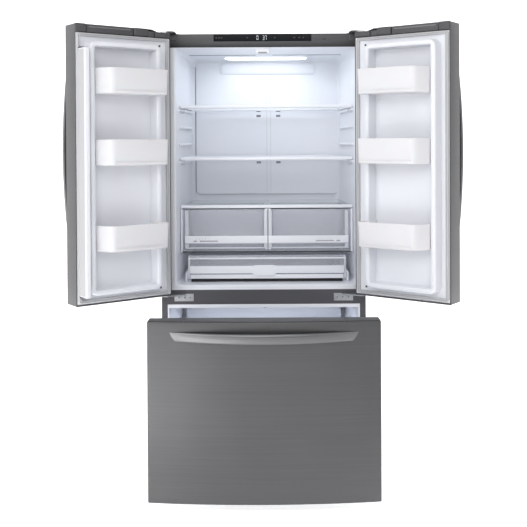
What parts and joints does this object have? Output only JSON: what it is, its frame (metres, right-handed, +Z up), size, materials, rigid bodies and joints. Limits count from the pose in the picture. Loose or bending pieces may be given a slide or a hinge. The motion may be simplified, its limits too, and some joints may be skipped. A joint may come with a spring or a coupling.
{
  "type": "french door refrigerator",
  "caption": "Bottom-freezer refrigerator with paired swinging doors, door bins, glass shelves, crispers, a pantry drawer and a pull-out freezer drawer.",
  "frame": {"origin": "on the floor, under the middle of the whole as stored: doors open, freezer drawer out", "axes": "+X to the right as seen from the front, +Y into the cabinet towards its back, +Z up"},
  "size_m": [1.5542, 1.234, 1.754],
  "materials": {
    "stainless": "horizontally brushed, dark tint",
    "dark_sheet": "fine textured satin paint",
    "grey_plastic": "satin moulded",
    "white_plastic": "semi-gloss vacuum formed",
    "clear_plastic": "clear, slightly blue",
    "frosted_plastic": "frosted, faintly translucent",
    "shelf_glass": "clear tempered",
    "black_glass": "polished",
    "gasket_rubber": "soft matt vinyl",
    "zinc_steel": "zinc plated",
    "black_paint": "semi-gloss",
    "fin_stock": "mill finish",
    "black_plastic": "moulded"
  },
  "bodies": {
    "cabinet": {"left_side_panel": "dark_sheet", "right_side_panel": "dark_sheet", "top_panel": "dark_sheet", "back_panel": "dark_sheet", "base_pan": "zinc_steel", "machine_cover": "dark_sheet", "power_inlet": "black_plastic", "centre_rail": "dark_sheet", "fresh_food_liner": "white_plastic", "freezer_liner": "white_plastic", "control_housing": "grey_plastic", "display_glass": "black_glass", "lamp_cover": "clear_plastic", "air_duct_cover": "white_plastic", "middle_shelf": "shelf_glass", "upper_shelf": "shelf_glass", "crisper_frame": "white_plastic", "compressor": "black_paint", "condenser": "black_paint", "evaporator": "fin_stock", "evaporator_cover": "white_plastic", "left_top_hinge": "zinc_steel", "right_top_hinge": "zinc_steel", "left_mid_hinge": "zinc_steel", "right_mid_hinge": "zinc_steel", "left_freezer_rail": "zinc_steel", "right_freezer_rail": "zinc_steel", "left_front_leg": "black_plastic", "right_front_leg": "black_plastic"},
    "left_door": {"left_door_panel": "stainless", "left_door_liner": "white_plastic", "left_door_gasket": "gasket_rubber", "left_door_handle": "stainless", "left_door_lower_bin": "frosted_plastic", "left_door_middle_bin": "frosted_plastic", "left_door_upper_bin": "frosted_plastic"},
    "flip_mullion": {"flip_mullion": "grey_plastic"},
    "right_door": {"right_door_panel": "stainless", "right_door_liner": "white_plastic", "right_door_gasket": "gasket_rubber", "right_door_handle": "stainless", "right_door_lower_bin": "frosted_plastic", "right_door_middle_bin": "frosted_plastic", "right_door_upper_bin": "frosted_plastic"},
    "freezer_drawer": {"freezer_drawer_front": "stainless", "freezer_drawer_liner": "white_plastic", "freezer_drawer_gasket": "gasket_rubber", "freezer_drawer_handle": "stainless", "freezer_drawer_frame": "zinc_steel", "freezer_basket": "white_plastic"},
    "freezer_tray": {"freezer_tray": "clear_plastic"},
    "left_crisper": {"left_crisper": "clear_plastic"},
    "right_crisper": {"right_crisper": "clear_plastic"},
    "left_humidity_slider": {"left_humidity_slider": "grey_plastic"},
    "right_humidity_slider": {"right_humidity_slider": "grey_plastic"},
    "pantry_drawer": {"pantry_drawer": "clear_plastic"},
    "evaporator_fan": {"evaporator_fan": "black_plastic"},
    "condenser_fan": {"condenser_fan": "black_plastic"},
    "left_rear_roller": {"left_rear_roller": "black_plastic"},
    "right_rear_roller": {"right_rear_roller": "black_plastic"}
  },
  "joints": [
    {"name": "left_door_hinge", "type": "hinge", "parent": "cabinet", "child": "left_door", "pos_m": [-0.398, -0.10928, 1.2], "axis": [0, 0, -1], "range_deg": [-143.45, 0]},
    {"name": "right_door_hinge", "type": "hinge", "parent": "cabinet", "child": "right_door", "pos_m": [0.398, -0.10928, 1.2], "axis": [0, 0, 1], "range_deg": [-143.45, 0]},
    {"name": "flip_mullion_hinge", "type": "hinge", "parent": "left_door", "child": "flip_mullion", "pos_m": [-0.67409, -0.37494, 1.2], "axis": [0, 0, 1], "range_deg": [-90, 0]},
    {"name": "freezer_drawer_slide", "type": "slide", "parent": "cabinet", "child": "freezer_drawer", "axis": [0, -1, 0], "range_m": [-0.407, 0]},
    {"name": "freezer_tray_slide", "type": "slide", "parent": "freezer_drawer", "child": "freezer_tray", "axis": [0, 1, 0], "range_m": [0, 0.15]},
    {"name": "left_crisper_slide", "type": "slide", "parent": "cabinet", "child": "left_crisper", "axis": [0, -1, 0], "range_m": [0, 0.28]},
    {"name": "right_crisper_slide", "type": "slide", "parent": "cabinet", "child": "right_crisper", "axis": [0, -1, 0], "range_m": [0, 0.28]},
    {"name": "left_humidity_slide", "type": "slide", "parent": "left_crisper", "child": "left_humidity_slider", "axis": [1, 0, 0], "range_m": [0, 0.06]},
    {"name": "right_humidity_slide", "type": "slide", "parent": "right_crisper", "child": "right_humidity_slider", "axis": [-1, 0, 0], "range_m": [0, 0.06]},
    {"name": "pantry_drawer_slide", "type": "slide", "parent": "cabinet", "child": "pantry_drawer", "axis": [0, -1, 0], "range_m": [0, 0.28]},
    {"name": "evaporator_fan_spin", "type": "hinge", "parent": "cabinet", "child": "evaporator_fan", "pos_m": [0, 0.50772, 0.562], "axis": [0, 1, 0], "continuous": true},
    {"name": "condenser_fan_spin", "type": "hinge", "parent": "cabinet", "child": "condenser_fan", "pos_m": [0.03, 0.48872, 0.142], "axis": [1, 0, 0], "continuous": true},
    {"name": "left_rear_roller_spin", "type": "hinge", "parent": "cabinet", "child": "left_rear_roller", "pos_m": [-0.356, 0.53472, 0.016], "axis": [1, 0, 0], "continuous": true},
    {"name": "right_rear_roller_spin", "type": "hinge", "parent": "cabinet", "child": "right_rear_roller", "pos_m": [0.356, 0.53472, 0.016], "axis": [1, 0, 0], "continuous": true}
  ]
}
